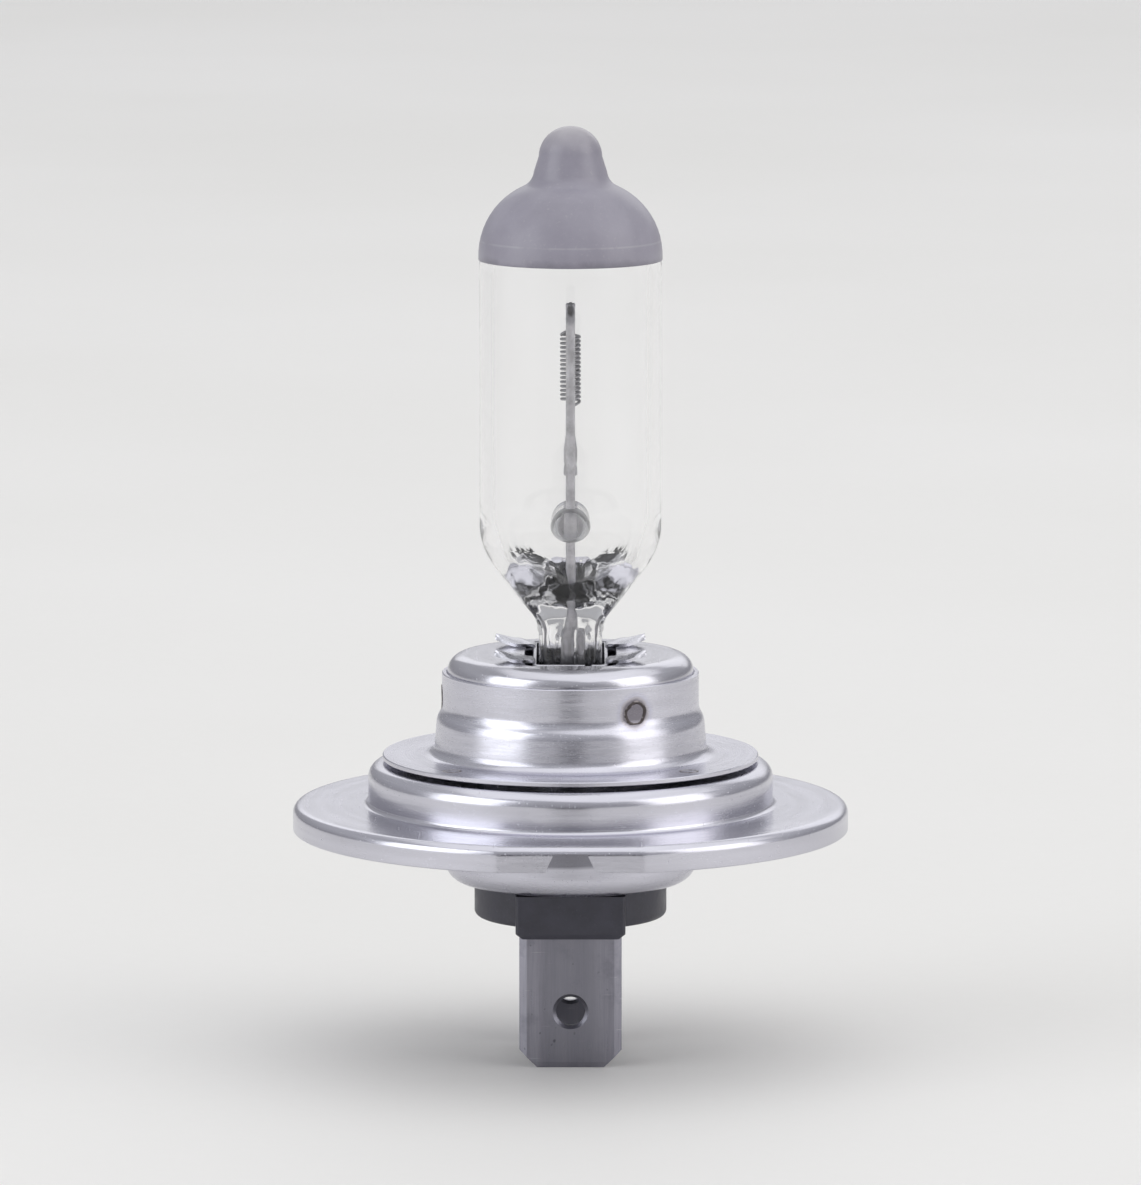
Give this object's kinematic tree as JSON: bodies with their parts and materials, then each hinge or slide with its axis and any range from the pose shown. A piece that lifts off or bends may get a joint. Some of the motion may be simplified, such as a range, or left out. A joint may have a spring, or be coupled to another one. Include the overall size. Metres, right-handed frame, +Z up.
{
  "type": "headlight bulb",
  "caption": "Single-filament halogen headlight bulb with a pinched quartz capsule, grey glare cap, flanged metal base and twin facing blade terminals.",
  "frame": {"origin": "where the lamp axis crosses the plane of the mounting flange's front face", "axes": "+Z up the lamp axis to the glass tip; -Y to the front, where the key flat and the first blade are; the blades' width runs along X and they face each other along Y"},
  "size_m": [0.0342, 0.0337, 0.0577],
  "materials": {
    "quartz_glass": "clear, polished",
    "grey_coating": "satin, opaque, heat-resistant",
    "tungsten": "drawn wire, dull grey",
    "molybdenum": "drawn wire, satin",
    "bead_glass": "clear, fire-polished",
    "foil": "etched foil",
    "lead_wire": "drawn wire",
    "spring_steel": "bright rolled strip",
    "cap_steel": "drawn, near-mirror",
    "sleeve_steel": "drawn, satin-mirror with fine draw lines",
    "weld_metal": "heat-darkened laser spot",
    "base_steel": "drawn, near-mirror",
    "ring_steel": "drawn, near-mirror",
    "black_insulator": "moulded, matt",
    "terminal_metal": "tinned blade, dull with fine scratches",
    "lead_sleeve_metal": "nickel-plated, bright"
  },
  "bodies": {
    "root": {"glass_envelope": "quartz_glass", "antiglare_coating": "grey_coating", "filament_coil": "tungsten", "upper_coil_clamp": "molybdenum", "lower_coil_clamp": "molybdenum", "long_support_lead": "molybdenum", "short_support_lead": "molybdenum", "bridge_bead": "bead_glass", "front_foil": "foil", "rear_foil": "foil", "front_outer_lead": "lead_wire", "rear_outer_lead": "lead_wire", "pinch_clip": "spring_steel", "inner_cap": "cap_steel", "focus_sleeve": "sleeve_steel", "sleeve_welds": "weld_metal", "foot_welds": "weld_metal", "base_shell": "base_steel", "rear_ring": "ring_steel", "ring_welds": "weld_metal", "insulator": "black_insulator", "front_terminal": "terminal_metal", "rear_terminal": "terminal_metal", "front_lead_sleeve": "lead_sleeve_metal", "rear_lead_sleeve": "lead_sleeve_metal"}
  },
  "joints": []
}
